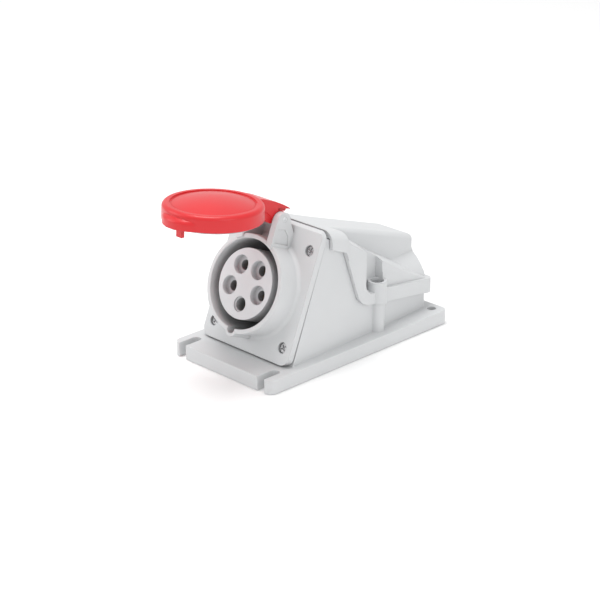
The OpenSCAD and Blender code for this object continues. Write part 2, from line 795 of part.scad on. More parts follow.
module lid() {
    r = lid_d / 2;
    arm = ear_in - fit_gap;
    color([0.86, 0.1, 0.12]) lid_frame() difference() {
        union() {
            translate([0, -lid_drop, 0]) {
                // Disc: skirt with a round edge, groove and domed centre
                rotate_extrude($fn = 144) union() {
                    translate([0, lid_lift]) square([r, skirt_h]);
                    translate([0, lid_top - 1]) square([dome_r + groove_w + 1, dome_foot + 0.8]);
                    translate([dome_r + groove_w, lid_top - 1]) square([r - lid_edge_r - dome_r - groove_w, lid_edge_r + 1]);
                    translate([r - lid_edge_r, lid_top]) circle(lid_edge_r);
                }
                dome(dome_ball, dome_r, lid_top);
                // Finger lip: the skirt bulges out under a sloping top
                translate([0, finger_r - r - finger_out, lid_lift]) {
                    cylinder(r = finger_r, h = skirt_h - finger_drop);
                    translate([0, 0, skirt_h - finger_drop]) cylinder(r1 = finger_r, r2 = finger_r - 2.2, h = 2.4);
                }
            }
            // Hinge arm
            difference() {
                ear_prism(-arm, 2 * arm) arm_outline();
                translate([0, -lid_drop, -30]) cylinder(r = r - 4.4, h = 60);
            }
        }
        // Inside of the skirt and of the domed centre
        translate([0, -lid_drop, -30]) cylinder(r = r - lid_wall, h = 30 + lid_top + 0.2);
        translate([0, -lid_drop, 0]) dome(dome_ball - 2.4, dome_r - 3, lid_top - 1);
        // Pin hole and the space for the spring
        translate([-30, hinge_up, -hinge_back]) rotate([0, 90, 0]) cylinder(r = pin_d / 2 + pin_play, h = 60);
        translate([-4.4, hinge_up, -hinge_back]) rotate([0, 90, 0]) cylinder(r = hinge_r + 1.4, h = 8.8);
        translate([-4.4, 37.5, leg_seat - 14]) cube([8.8, hinge_up - 38.5, 14]);
        // Hollow underside of the arm
        for (s = [-1, 1]) translate([s * 7.9 - 2, 36.8, -4]) cube([4, 6.5, 8.4]);
    }
    // Latch nose
    color([0.86, 0.1, 0.12]) lid_frame() translate([-2.8, -31.2, lid_lift - nose_len])
        cube([5.6, 2.6, nose_len + skirt_h + 1]);
}

module lid_seal() {
    r = lid_d / 2;
    // A ring in the skirt whose tapered edge reaches down to the collar's rim
    color([0.7, 0.7, 0.7]) lid_frame() difference() {
        translate([0, -lid_drop, 0]) rotate_extrude() difference() {
            translate([r - lid_wall - 3.4, seal_gap]) square([3.4, lid_top + 0.2 - seal_gap]);
            polygon([[r - lid_wall - 1, seal_gap - 0.1], [r, seal_gap - 0.1], [r, lid_lift], [r - lid_wall, lid_lift]]);
        }
        translate([-3.2, -r - 2, -1]) cube([6.4, 10, 20]);
    }
}

// Torsion spring: a wire swept along a coil between two straight legs. One leg bears on the flange's
// face and the other on the lid's arm. Heights and distances are from the hinge pin.
function coil_pt(a, x, rad) = [x, rad * cos(a), rad * sin(a)];
function turn_open(p) = [p[0] * cos(open_angle) + p[1] * sin(open_angle), p[1] * cos(open_angle) - p[0] * sin(open_angle)];

module wire(path, r, sides) {
    n = len(path);
    rings = [for (i = [0:n - 1])
        let (a = path[max(0, i - 1)], b = path[min(n - 1, i + 1)], d = (b - a) / norm(b - a),
             side = cross(d, abs(d[0]) > 0.8 ? [0, 0, 1] : [1, 0, 0]), u = side / norm(side), v = cross(d, u))
        for (k = [0:sides - 1]) path[i] + r * (u * cos(360 * k / sides) + v * sin(360 * k / sides))];
    walls = [for (i = [0:n - 2], k = [0:sides - 1])
        [i * sides + k, (i + 1) * sides + k, (i + 1) * sides + (k + 1) % sides, i * sides + (k + 1) % sides]];
    first = [for (k = [0:sides - 1]) k];
    last = [for (k = [0:sides - 1]) n * sides - 1 - k];
    polyhedron(rings, concat(walls, [first], [last]));
}

module lid_spring() {
    wire_r = 0.45;
    rad = 3.3;
    coil_w = 6.2;
    steps = 104;
    rest = [flange_h / 2 - 3.8 - hinge_up, hinge_back - collar_len + wire_r];
    push = turn_open([-9.3, leg_seat + hinge_back - wire_r]);
    a0 = atan2(rest[1], rest[0]) + acos(rad / norm(rest));
    a1 = atan2(push[1], push[0]) - acos(rad / norm(push)) + 360 * 4;
    coil = [for (i = [0:steps]) let (t = i / steps) coil_pt(a0 + (a1 - a0) * t, coil_w * (t - 0.5), rad)];
    color([0.66, 0.67, 0.68]) socket_frame() translate([0, hinge_up, -hinge_back])
        wire(concat([[-coil_w / 2, rest[0], rest[1]]], coil, [[coil_w / 2, push[0], push[1]]]), wire_r, 8);
}

base_box();
rear_cover();
cover_seal();
cover_screws();
cable_grommet();
socket_flange();
flange_seal();
flange_screws();
contact_carrier();
terminal_holder();
holder_screws();
sleeve(2);  // sleeve_l1
sleeve(3);  // sleeve_l2
sleeve(4);  // sleeve_l3
sleeve(1);  // sleeve_neutral
sleeve(0);  // sleeve_earth
sleeve_rings();
terminal_screws();
hinge_pin();
lid();
lid_seal();
lid_spring();
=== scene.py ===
"""Angled surface mount socket: finishes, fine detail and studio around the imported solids."""

import math

import bmesh
import bpy
from mathutils import Matrix, Vector


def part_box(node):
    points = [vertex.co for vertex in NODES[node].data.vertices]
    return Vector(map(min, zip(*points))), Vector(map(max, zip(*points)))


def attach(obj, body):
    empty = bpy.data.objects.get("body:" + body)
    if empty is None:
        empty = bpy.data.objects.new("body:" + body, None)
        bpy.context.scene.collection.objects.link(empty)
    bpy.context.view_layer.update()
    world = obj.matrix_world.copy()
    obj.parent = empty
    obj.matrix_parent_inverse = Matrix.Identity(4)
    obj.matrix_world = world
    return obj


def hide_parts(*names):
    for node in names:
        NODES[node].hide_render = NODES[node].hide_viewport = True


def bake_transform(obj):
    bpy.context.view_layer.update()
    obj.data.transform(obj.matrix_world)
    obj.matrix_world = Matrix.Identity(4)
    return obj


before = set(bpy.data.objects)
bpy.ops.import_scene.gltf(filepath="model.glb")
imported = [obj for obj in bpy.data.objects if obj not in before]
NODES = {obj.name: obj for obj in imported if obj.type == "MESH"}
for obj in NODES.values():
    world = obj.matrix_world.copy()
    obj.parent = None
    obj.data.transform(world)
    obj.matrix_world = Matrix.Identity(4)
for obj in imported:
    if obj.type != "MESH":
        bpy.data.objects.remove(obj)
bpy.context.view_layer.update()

bl_info = {
    "name": "Angled socket finish",
    "version": (1, 0, 0),
    "blender": (4, 5, 0),
    "location": "View3D > Sidebar > Socket",
    "description": "Moulded plastic, metal and rubber finishes for an angled wall socket, with its studio",
    "category": "Object",
}

# Edges that turn by more than this many degrees are sharp
SHARP_ANGLE = 30
# Faces that turn by less than this many degrees are one flat face
FLAT_ANGLE = 0.05
# Corners closer than this are one
WELD_REACH = 0.00002
# Edges shorter than this aren't rounded by a modifier
SHORT_EDGE = 0.00012
# On the copies of the cover and the flange, an edge is rounded if it is longer than this many radii
ROUNDED_RUN = 3
# There an edge stays sharp beside a face's corner that is narrower than the first of these angles,
# in degrees, or wider than the second, unless the rounding runs on along the next edge
NARROW_CORNER = 30
WIDE_CORNER = 150
# Steps round an edge of the cover, of the flange, and of the metal and rubber pieces
COVER_STEPS = 6
FLANGE_STEPS = 4
SMALL_STEPS = 2
# Share of the box's edge radius that the contact carrier and its holder have, and that the lid has
INSERT_SHARE = 0.6
LID_SHARE = 0.7

# The sides of the cover's trunk lie between these two distances from the centre plane
TRUNK_SIDE = (0.018, 0.021)
# The trunk's end wall lies behind this
TRUNK_END = 0.0865
# Height of the arch beside the end wall
ARCH_TOP = 0.0515
# Where the trunk's top leaves the hood (y, z), and its fall per metre from there
TRUNK_START = (-0.0091, 0.0942)
TRUNK_FALL = 0.3208
# An edge this near to the trunk's top belongs to it
TOP_REACH = 0.0006
# Growth per metre of the trunk's sides from the hood, and the share of a side that its rounding may take up
TRUNK_GROWTH = 0.35
ROUNDED_SHARE = 0.45
# Share of the trunk's radius that its end wall's edges have, clear of the cable hole
END_SHARE = 0.6
# An edge with a radius of its own is cut near one end if it is longer than this
LONG_EDGE = 0.025
# These cuts on a falling edge and on an upright edge: how many, and how far apart
FALLING_CUTS = (11, 0.0025)
UPRIGHT_CUTS = (4, 0.001)
# Lowest and highest corner of the box around the crest of the right shoulder, which the left one mirrors
CREST_LOW = (0.034, 0.030, 0.0345)
CREST_HIGH = (0.040, 0.082, 0.0635)
# An edge belongs to the crest if it runs back by more than this many radii
CREST_RUN = 5

# Tilt of the open lid in degrees
LID_TILT = 3.2
# The lid's disc: its centre along the lid and its foot's height, both from the hinge pin, and its radius
DISC_PLACE = -0.0518
DISC_FOOT = 0.0070
DISC_RADIUS = 0.0349
# Finger lip: radius of its round front, how far it stands out, and half the angle that it spans, in degrees
LIP_RADIUS = 0.0223
LIP_OUT = 0.0034
LIP_SPAN = 30
# Degrees between two sections of the lip, depth of its root in the skirt, and its least thickness there
LIP_PITCH = 2
LIP_ROOT = 0.0008
LIP_LEAST = 0.0002
# Section of the lip from its foot upwards: the height, and how far the front has drawn in there
LIP_STEPS = ((0.0, 0.0), (0.0042, 0.0), (0.0054, 0.0003), (0.0064, 0.0011), (0.0071, 0.0022),
             (0.0076, 0.0036))
# Outlines (y, z) on the sides of the lid's arm: the recesses under its tip, round over the pin's barrel,
# and its two lugs
TIP_SPACE = ((-0.0466, 0.1151), (-0.0406, 0.1134), (-0.0345, 0.1116), (-0.0345, 0.1085), (-0.0404, 0.1098),
             (-0.0414, 0.1113), (-0.0429, 0.1125), (-0.0447, 0.1132), (-0.0466, 0.1133))
LUG_SIDE = ((-0.0590, 0.1165), (-0.0507, 0.1140), (-0.0507, 0.1115), (-0.0531, 0.1050), (-0.0580, 0.1082))
# Inner and outer side of these recesses and lugs, from the centre plane
TIP_PLACE = (0.0078, 0.0130)
LUG_PLACE = (0.0052, 0.0106)

# Rays per sample for edges that the shader rounds
EDGE_SAMPLES = 6
# Rays per sample, reach and darkness of the painted shade in deep gaps
GAP_SAMPLES = 8
GAP_REACH = 0.012
GAP_SHADE = 0.25
# How far the flow marks in a plastic change its roughness, up and down
SHEEN_SWING = 0.04
# Sockets of the colour Mix node for its factor, its two colours and its result
MIX_FACTOR = 0
MIX_FIRST = 6
MIX_SECOND = 7
MIX_RESULT = 2

# Half the width of the studio floor, and how far it lies under the part
FLOOR_REACH = 6.0
FLOOR_DROP = 0.0002
# Name, place, width and power in watts of each softbox, and the point that they face
SOFTBOXES = (
    ("top_softbox", (-0.2, -0.1, 1.6), 0.8, 13.0),
    ("left_softbox", (-1.3, -1.1, 0.9), 1.0, 6.0),
    ("right_softbox", (1.6, -0.3, 0.8), 1.0, 4.0),
)
LAMP_AIM = (0.0, 0.0, 0.05)
# The camera's sensor in millimetres, and its nearest and furthest sight in metres
SENSOR_WIDTH = 36.0
NEAR_SIGHT = 0.05
FAR_SIGHT = 50.0


class PlasticSettings(bpy.types.PropertyGroup):
    """Colours and surface of the moulded plastics."""

    housing_colour: bpy.props.FloatVectorProperty(
        name="Housing colour", description="Pale grey of the box, the cover and the flange",
        subtype="COLOR", size=3, min=0.0, max=1.0, default=(0.622, 0.632, 0.640))
    carrier_colour: bpy.props.FloatVectorProperty(
        name="Carrier colour", description="Grey of the contact carrier",
        subtype="COLOR", size=3, min=0.0, max=1.0, default=(0.635, 0.640, 0.655))
    holder_colour: bpy.props.FloatVectorProperty(
        name="Holder colour", description="Near black of the terminal holder",
        subtype="COLOR", size=3, min=0.0, max=1.0, default=(0.03, 0.03, 0.032))
    lid_colour: bpy.props.FloatVectorProperty(
        name="Lid colour", description="Red of the hinged lid",
        subtype="COLOR", size=3, min=0.0, max=1.0, default=(0.66, 0.015, 0.020))
    housing_roughness: bpy.props.FloatProperty(
        name="Housing roughness", description="Mean roughness of the grey mouldings",
        subtype="FACTOR", min=0.0, max=1.0, default=0.46)
    insert_roughness: bpy.props.FloatProperty(
        name="Insert roughness", description="Mean roughness of the contact carrier and the terminal holder",
        subtype="FACTOR", min=0.0, max=1.0, default=0.5)
    lid_roughness: bpy.props.FloatProperty(
        name="Lid roughness", description="Mean roughness of the red moulding",
        subtype="FACTOR", min=0.0, max=1.0, default=0.36)
    lid_gloss: bpy.props.FloatProperty(
        name="Lid gloss", description="Weight of the polished skin on the red moulding",
        subtype="FACTOR", min=0.0, max=1.0, default=0.2)
    grain: bpy.props.FloatProperty(
        name="Grain size", description="Pitch of the fine spark-eroded grain",
        unit="LENGTH", min=0.0001, max=0.002, default=0.00045)
    edge: bpy.props.FloatProperty(
        name="Edge radius",
        description="Rounding of the box's edges, and more finely of the carrier's and the lid's",
        unit="LENGTH", min=0.0001, max=0.0015, default=0.0003)
    shell_edge: bpy.props.FloatProperty(
        name="Shell edge radius", description="Rounding of the cover's and the flange's edges",
        unit="LENGTH", min=0.0001, max=0.001, default=0.0006)
    trunk_radius: bpy.props.FloatProperty(
        name="Trunk radius", description="Rounding along the cover's raised trunk",
        unit="LENGTH", min=0.001, max=0.0045, default=0.004)
    crest_radius: bpy.props.FloatProperty(
        name="Crest radius", description="Rounding along the crests of the cover's shoulders",
        unit="LENGTH", min=0.0005, max=0.0025, default=0.002)
    soft_edge: bpy.props.FloatProperty(
        name="Soft edge",
        description="Rounding that the light shows on every edge of the housing and the lid",
        unit="LENGTH", min=0.0001, max=0.002, default=0.0006)


class MetalSettings(bpy.types.PropertyGroup):
    """Colours and edges of the metal and rubber pieces."""

    steel_colour: bpy.props.FloatVectorProperty(
        name="Steel colour", description="Plated steel of the screws, the spring and the sleeves' rings",
        subtype="COLOR", size=3, min=0.0, max=1.0, default=(0.52, 0.52, 0.53))
    brass_colour: bpy.props.FloatVectorProperty(
        name="Brass colour", description="Brass of the contact sleeves",
        subtype="COLOR", size=3, min=0.0, max=1.0, default=(0.33, 0.27, 0.17))
    rubber_colour: bpy.props.FloatVectorProperty(
        name="Rubber colour", description="Dark rubber of the cover's seal and the grommet",
        subtype="COLOR", size=3, min=0.0, max=1.0, default=(0.018, 0.018, 0.019))
    pin_colour: bpy.props.FloatVectorProperty(
        name="Pin colour", description="Pale satin finish of the hinge pin",
        subtype="COLOR", size=3, min=0.0, max=1.0, default=(0.80, 0.81, 0.82))
    gasket_colour: bpy.props.FloatVectorProperty(
        name="Gasket colour", description="Grey foam of the seal under the flange",
        subtype="COLOR", size=3, min=0.0, max=1.0, default=(0.24, 0.24, 0.245))
    ring_colour: bpy.props.FloatVectorProperty(
        name="Ring colour", description="Pale grey rubber of the ring in the lid",
        subtype="COLOR", size=3, min=0.0, max=1.0, default=(0.30, 0.30, 0.31))
    metal_edge: bpy.props.FloatProperty(
        name="Metal edge radius", description="Rounding of the visible screws and the hinge pin",
        unit="LENGTH", min=0.00005, max=0.0005, default=0.0002)
    rubber_edge: bpy.props.FloatProperty(
        name="Rubber edge radius", description="Rounding of the grommet and the ring in the lid",
        unit="LENGTH", min=0.00005, max=0.0005, default=0.0003)


class StudioSettings(bpy.types.PropertyGroup):
    """Camera, backdrop light and floor."""

    camera_place: bpy.props.FloatVectorProperty(
        name="Camera place", description="Where the camera stands",
        subtype="TRANSLATION", size=3, default=(0.82562, -0.83329, 0.50925))
    camera_aim: bpy.props.FloatVectorProperty(
        name="Camera aim", description="Point in the middle of the picture",
        subtype="TRANSLATION", size=3, default=(0.018381, -0.0325, 0.044642))
    lens: bpy.props.FloatProperty(
        name="Focal length", description="Focal length of the camera in millimetres",
        unit="CAMERA", min=20.0, max=300.0, default=104.17)
    backdrop_light: bpy.props.FloatProperty(
        name="Backdrop light", description="Strength of the even white light from all around",
        min=0.0, max=5.0, default=0.76)
    floor_colour: bpy.props.FloatVectorProperty(
        name="Floor colour", description="Pale studio floor",
        subtype="COLOR", size=3, min=0.0, max=1.0, default=(0.98, 0.98, 0.98))


class Shader:
    """A node material under construction, with short ways to add and join nodes."""

    def __init__(self, name):
        self.material = bpy.data.materials.new(name)
        self.material.use_nodes = True
        self.tree = self.material.node_tree
        self.principled = self.tree.nodes["Principled BSDF"]
        self.place = self.add("ShaderNodeTexCoord").outputs["Object"]

    def add(self, kind, **settings):
        """Adds a node and sets its plain attributes."""
        node = self.tree.nodes.new(kind)
        for key, value in settings.items():
            setattr(node, key, value)
        return node

    def join(self, source, target):
        """Links an output socket to an input socket."""
        self.tree.links.new(source, target)

    def noise(self, size, detail=2.0, roughness=0.5):
        """A noise pattern in the object's own space, its grains about size metres across."""
        node = self.add("ShaderNodeTexNoise")
        node.inputs["Scale"].default_value = 1.0 / size
        node.inputs["Detail"].default_value = detail
        node.inputs["Roughness"].default_value = roughness
        self.join(self.place, node.inputs["Vector"])
        return node.outputs["Fac"]

    def spread(self, source, low=0.0, high=1.0, start=0.3, end=0.7):
        """Maps a pattern's start to end onto low to high."""
        node = self.add("ShaderNodeMapRange")
        node.inputs["From Min"].default_value = start
        node.inputs["From Max"].default_value = end
        node.inputs["To Min"].default_value = low
        node.inputs["To Max"].default_value = high
        self.join(source, node.inputs["Value"])
        return node.outputs["Result"]

    def tint(self, source, first, second):
        """Mixes two colours by a pattern."""
        node = self.add("ShaderNodeMix", data_type="RGBA")
        node.inputs[MIX_FIRST].default_value = (*first, 1.0)
        node.inputs[MIX_SECOND].default_value = (*second, 1.0)
        self.join(source, node.inputs[MIX_FACTOR])
        return node.outputs[MIX_RESULT]

    def paint_gap_shade(self, source, dark, reach):
        """Paints shade into a colour: turns it towards a dark one in gaps narrower than about twice the
        reach.
        """
        gap = self.add("ShaderNodeAmbientOcclusion", samples=GAP_SAMPLES)
        gap.inputs["Distance"].default_value = reach
        node = self.add("ShaderNodeMix", data_type="RGBA")
        node.inputs[MIX_FIRST].default_value = (*dark, 1.0)
        self.join(source, node.inputs[MIX_SECOND])
        self.join(self.spread(gap.outputs["AO"], start=0.05, end=0.6), node.inputs[MIX_FACTOR])
        return node.outputs[MIX_RESULT]

    def bump(self, height, strength, distance, under=None):
        """A bump node fed by a height pattern, on top of earlier normals."""
        node = self.add("ShaderNodeBump")
        node.inputs["Strength"].default_value = strength
        node.inputs["Distance"].default_value = distance
        self.join(height, node.inputs["Height"])
        if under is not None:
            self.join(under, node.inputs["Normal"])
        return node.outputs["Normal"]

    def rounded(self, radius):
        """Normals that run smoothly round sharp edges."""
        node = self.add("ShaderNodeBevel", samples=EDGE_SAMPLES)
        node.inputs["Radius"].default_value = radius
        return node.outputs["Normal"]

    def feed(self, socket, source):
        """Joins a pattern to the surface shader."""
        self.join(source, self.principled.inputs[socket])

    def fix(self, socket, value):
        """Sets a constant on the surface shader."""
        self.principled.inputs[socket].default_value = value


def scaled(colour, factor):
    """A colour made lighter or darker."""
    return tuple(min(1.0, channel * factor) for channel in colour)


def moulded_plastic(name, colour, roughness, grain, edge, swing=0.02, gloss=0.0, painted_gap_shade=False):
    """Injection-moulded plastic: fine grain, faint flow marks, uneven sheen, soft edges, and painted shade
    in deep gaps when asked for.
    """
    shader = Shader(name)
    flow = shader.noise(size=0.045, detail=3.0, roughness=0.55)
    fine = shader.noise(size=grain, detail=2.0, roughness=0.6)
    deep = scaled(colour, 1.0 - swing)
    pale = scaled(colour, 1.0 + swing)
    shade = shader.tint(shader.spread(flow), deep, pale)
    # Painted shade: the colour darkens in deep gaps, where shade falls
    if painted_gap_shade:
        shade = shader.paint_gap_shade(shade, scaled(colour, GAP_SHADE), GAP_REACH)
    shader.feed("Base Color", shade)
    shader.feed("Roughness", shader.spread(flow, roughness - SHEEN_SWING, roughness + SHEEN_SWING))
    shader.feed("Normal", shader.bump(fine, strength=0.10, distance=0.00012, under=shader.rounded(edge)))
    shader.fix("Specular IOR Level", 0.42)
    shader.fix("Coat Weight", gloss)
    shader.fix("Coat Roughness", 0.16)
    return shader.material


def plated_steel(name, colour):
    """Zinc-plated steel with a fine grain and cloudy plating."""
    shader = Shader(name)
    cloud = shader.noise(size=0.0025, detail=3.0, roughness=0.6)
    fine = shader.noise(size=0.0002, detail=1.0)
    dull = scaled(colour, 0.85)
    bright = scaled(colour, 1.12)
    shader.feed("Base Color", shader.tint(shader.spread(cloud), dull, bright))
    shader.feed("Roughness", shader.spread(cloud, low=0.26, high=0.42))
    shader.feed("Normal", shader.bump(fine, strength=0.12, distance=0.00004))
    shader.fix("Metallic", 1.0)
    return shader.material


def turned_brass(name, colour):
    """Turned brass with faint tarnish."""
    shader = Shader(name)
    cloud = shader.noise(size=0.003, detail=3.0, roughness=0.6)
    tarnish = scaled(colour, 0.8)
    shader.feed("Base Color", shader.tint(shader.spread(cloud), tarnish, colour))
    shader.feed("Roughness", shader.spread(cloud, low=0.22, high=0.36))
    shader.fix("Metallic", 1.0)
    return shader.material


def soft_rubber(name, colour, bloom_lift=1.7):
    """Moulded rubber with a dusty bloom that makes it paler in places."""
    shader = Shader(name)
    bloom = shader.noise(size=0.004, detail=4.0, roughness=0.6)
    fine = shader.noise(size=0.0003)
    dusty = scaled(colour, bloom_lift)
    shader.feed("Base Color", shader.tint(shader.spread(bloom), colour, dusty))
    shader.feed("Roughness", shader.spread(bloom, low=0.6, high=0.75))
    shader.feed("Normal", shader.bump(fine, strength=0.2, distance=0.00006))
    return shader.material


def floor_paint(name, colour):
    """Matt pale paint with a faint mottle."""
    shader = Shader(name)
    mottle = shader.noise(size=0.5)
    shader.feed("Base Color", shader.tint(shader.spread(mottle), scaled(colour, 0.985), colour))
    shader.fix("Roughness", 0.85)
    shader.fix("Specular IOR Level", 0.1)
    return shader.material


def dress(names, material):
    """Gives CAD nodes a material."""
    for name in names:
        slots = NODES[name].data.materials
        slots.clear()
        slots.append(material)


def new_object(name, data):
    """Puts a new object into the scene."""
    thing = bpy.data.objects.new(name, data)
    bpy.context.scene.collection.objects.link(thing)
    return thing


def above(nodes, limit):
    """Adds a node that tells whether a number is greater than a limit."""
    node = nodes.new("FunctionNodeCompare")
    node.data_type = "FLOAT"
    node.operation = "GREATER_THAN"
    node.inputs[1].default_value = limit
    return node


def crease_group():
    """Geometry nodes that shade smooth, keep sharp edges sharp and mark those long enough to be rounded."""
    group = bpy.data.node_groups.get("crease_edges")
    if group is not None:
        return group
    group = bpy.data.node_groups.new("crease_edges", "GeometryNodeTree")
    group.interface.new_socket("Geometry", in_out="INPUT", socket_type="NodeSocketGeometry")
    group.interface.new_socket("Geometry", in_out="OUTPUT", socket_type="NodeSocketGeometry")
    nodes = group.nodes
    start = nodes.new("NodeGroupInput")
    end = nodes.new("NodeGroupOutput")
    angle = nodes.new("GeometryNodeInputMeshEdgeAngle")
    sharp = above(nodes, math.radians(SHARP_ANGLE))
    ends = nodes.new("GeometryNodeInputMeshEdgeVertices")
    length = nodes.new("ShaderNodeVectorMath")
    length.operation = "DISTANCE"
    long_enough = above(nodes, SHORT_EDGE)
    both = nodes.new("FunctionNodeBooleanMath")
    both.operation = "AND"
    normal = nodes.new("GeometryNodeSetMeshNormal")
    normal.mode = "SHARPNESS"
    store = nodes.new("GeometryNodeStoreNamedAttribute")
    store.data_type = "FLOAT"
    store.domain = "EDGE"
    store.inputs["Name"].default_value = "bevel_weight_edge"
    join = group.links.new
    join(angle.outputs["Unsigned Angle"], sharp.inputs[0])
    join(ends.outputs["Position 1"], length.inputs[0])
    join(ends.outputs["Position 2"], length.inputs[1])
    join(length.outputs["Value"], long_enough.inputs[0])
    join(sharp.outputs["Result"], both.inputs[0])
    join(long_enough.outputs["Result"], both.inputs[1])
    join(start.outputs[0], normal.inputs["Mesh"])
    join(sharp.outputs["Result"], normal.inputs["Edge Sharpness"])
    join(normal.outputs["Mesh"], store.inputs["Geometry"])
    join(both.outputs["Boolean"], store.inputs["Value"])
    join(store.outputs["Geometry"], end.inputs[0])
    return group


def crease(thing):
    """Shades a mesh smooth but for its sharp edges, and gives those their bevel weight."""
    modifier = thing.modifiers.new("creases", "NODES")
    modifier.node_group = crease_group()


def round_weighted(thing, width, segments, miter="MITER_SHARP"):
    """Adds a bevel to the edges that carry a weight."""
    bevel = thing.modifiers.new("rounded edges", "BEVEL")
    bevel.width = width
    bevel.segments = segments
    bevel.limit_method = "WEIGHT"
    bevel.use_clamp_overlap = False
    bevel.miter_outer = miter


def even_out(thing):
    """Keeps the shading of the large faces even."""
    even = thing.modifiers.new("even normals", "WEIGHTED_NORMAL")
    even.keep_sharp = True


def soften(thing, width, segments=3):
    """Rounds an object's sharp edges with modifiers and shades it smooth."""
    weld = thing.modifiers.new("weld", "WELD")
    weld.merge_threshold = WELD_REACH
    flat = thing.modifiers.new("flat faces", "DECIMATE")
    flat.decimate_type = "DISSOLVE"
    flat.angle_limit = math.radians(FLAT_ANGLE)
    crease(thing)
    round_weighted(thing, width, segments, "MITER_ARC")
    even_out(thing)


def well_cornered(edge, chosen):
    """Whether a rounded edge ends well: no sliver beside it, and it runs on only into a chosen edge."""
    for corner in edge.verts:
        for face in edge.link_faces:
            for loop in face.loops:
                if loop.vert is not corner:
                    continue
                before = loop.link_loop_prev.edge
                beside = before if loop.edge is edge else loop.edge
                angle = math.degrees(loop.calc_angle())
                if angle < NARROW_CORNER or (angle > WIDE_CORNER and beside not in chosen):
                    return False
    return True


def is_sharp(edge):
    """Whether an edge is an outer one that turns by more than the sharp angle."""
    is_outer = len(edge.link_faces) == 2 and edge.is_convex
    return is_outer and edge.calc_face_angle() > math.radians(SHARP_ANGLE)


def trunk_rounding(edge, radius):
    """Radius of an edge of the cover's trunk, or 0 elsewhere.

    It fades towards the hood and towards the arch, and is below 0 where there is no room for it.
    """
    first, second = (corner.co for corner in edge.verts)
    in_range = all(TRUNK_SIDE[0] < abs(point.x) < TRUNK_SIDE[1] for point in (first, second))
    if not in_range or not is_sharp(edge):
        return 0.0
    middle = (first + second) / 2
    if min(first.y, second.y) > TRUNK_END:
        room = min(END_SHARE * radius, middle.z - ARCH_TOP)
    elif abs(middle.z - TRUNK_START[1] + TRUNK_FALL * (middle.y - TRUNK_START[0])) < TOP_REACH:
        room = ROUNDED_SHARE * TRUNK_GROWTH * (middle.y - TRUNK_START[0])
    else:
        return 0.0
    return min(radius, room)


def crest_rounding(edge, radius):
    """Radius of an edge along the crest of a shoulder, or 0 elsewhere."""
    if not is_sharp(edge):
        return 0.0
    for corner in edge.verts:
        place = (abs(corner.co.x), corner.co.y, corner.co.z)
        if not all(low < value < high for low, value, high in zip(CREST_LOW, place, CREST_HIGH)):
            return 0.0
    first, second = (corner.co for corner in edge.verts)
    return radius if abs(first.y - second.y) > CREST_RUN * radius else 0.0


def cut_fading_end(edge):
    """Cuts a long edge where its radius fades: from its high end, or from the arch up if it is upright."""
    first, second = sorted(edge.verts, key=lambda corner: corner.co.z)
    crosses_middle = first.co.x * second.co.x < 0
    if crosses_middle:
        return
    if second.co.y < first.co.y - LONG_EDGE:
        start = second
        count, step = FALLING_CUTS
    else:
        start = bmesh.utils.edge_split(edge, first, (ARCH_TOP - first.co.z) / edge.calc_length())[1]
        count, step = UPRIGHT_CUTS
    for _ in range(count):
        start = bmesh.utils.edge_split(edge, start, step / edge.calc_length())[1]


def moulded_copy(name, piece, material, edge_radius, segments, widest, own_radius=lambda edge: 0.0):
    """A copy of a CAD node with rounded outer edges: some have their own radius, the rest a small one."""
    shape = bmesh.new()
    shape.from_mesh(NODES[name].data)
    weight = shape.edges.layers.float.new("bevel_weight_edge")
    bmesh.ops.remove_doubles(shape, verts=shape.verts, dist=WELD_REACH)
    bmesh.ops.dissolve_limit(
        shape, angle_limit=math.radians(FLAT_ANGLE), verts=shape.verts, edges=shape.edges)
    for edge in [edge for edge in shape.edges if own_radius(edge) and edge.calc_length() > LONG_EDGE]:
        cut_fading_end(edge)
    shape.normal_update()
    own = {edge: own_radius(edge) for edge in shape.edges if own_radius(edge)}
    least = ROUNDED_RUN * edge_radius
    chosen = {edge for edge in shape.edges if is_sharp(edge) and edge.calc_length() > least}
    # An edge whose own radius has no room stays sharp
    chosen = {edge for edge in chosen | own.keys() if own.get(edge, edge_radius) > 0}
    # An edge that is dropped can leave the next one with a bad end, so this goes on until all end well
    while True:
        unfit = {edge for edge in chosen if edge not in own and not well_cornered(edge, chosen)}
        if not unfit:
            break
        chosen -= unfit
    for edge in chosen:
        edge[weight] = own.get(edge, edge_radius) / widest
    mesh = bpy.data.meshes.new(piece)
    shape.to_mesh(mesh)
    shape.free()
    mesh.materials.append(material)
    copy = new_object(piece, mesh)
    round_weighted(copy, widest, segments)
    crease(copy)
    even_out(copy)
    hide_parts(name)
    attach(copy, "housing")


def loft(rings):
    """A closed solid through rings of points, each with as many points as the first."""
    count = len(rings[0])
    faces = [tuple(range(count)), tuple(range((len(rings) - 1) * count, len(rings) * count))]
    for ring in range(len(rings) - 1):
        for place in range(count):
            here = ring * count + place
            beside = ring * count + (place + 1) % count
            faces.append((here, beside, beside + count, here + count))
    mesh = bpy.data.meshes.new("tool")
    mesh.from_pydata([point for ring in rings for point in ring], [], faces)
    shape = bmesh.new()
    shape.from_mesh(mesh)
    bmesh.ops.recalc_face_normals(shape, faces=shape.faces)
    shape.to_mesh(mesh)
    shape.free()
    return new_object("tool", mesh)


def mirrored_prisms(outline, sides):
    """Two solids with an outline (y, z), between two distances on either side of the centre plane."""
    solids = []
    for hand in (-1, 1):
        rings = [[(hand * side, *point) for point in outline] for side in sides]
        solids.append(loft(rings))
    return solids


def lip_section(root, front):
    """The lip's outline (out, up) between its root and its front: an upright foot under a round shoulder."""
    section = [(root, 0.0)]
    for up, inwards in LIP_STEPS:
        section.append((max(root + LIP_LEAST, front - inwards), up))
    top = section[-1][1]
    section.append((root, top))
    return section


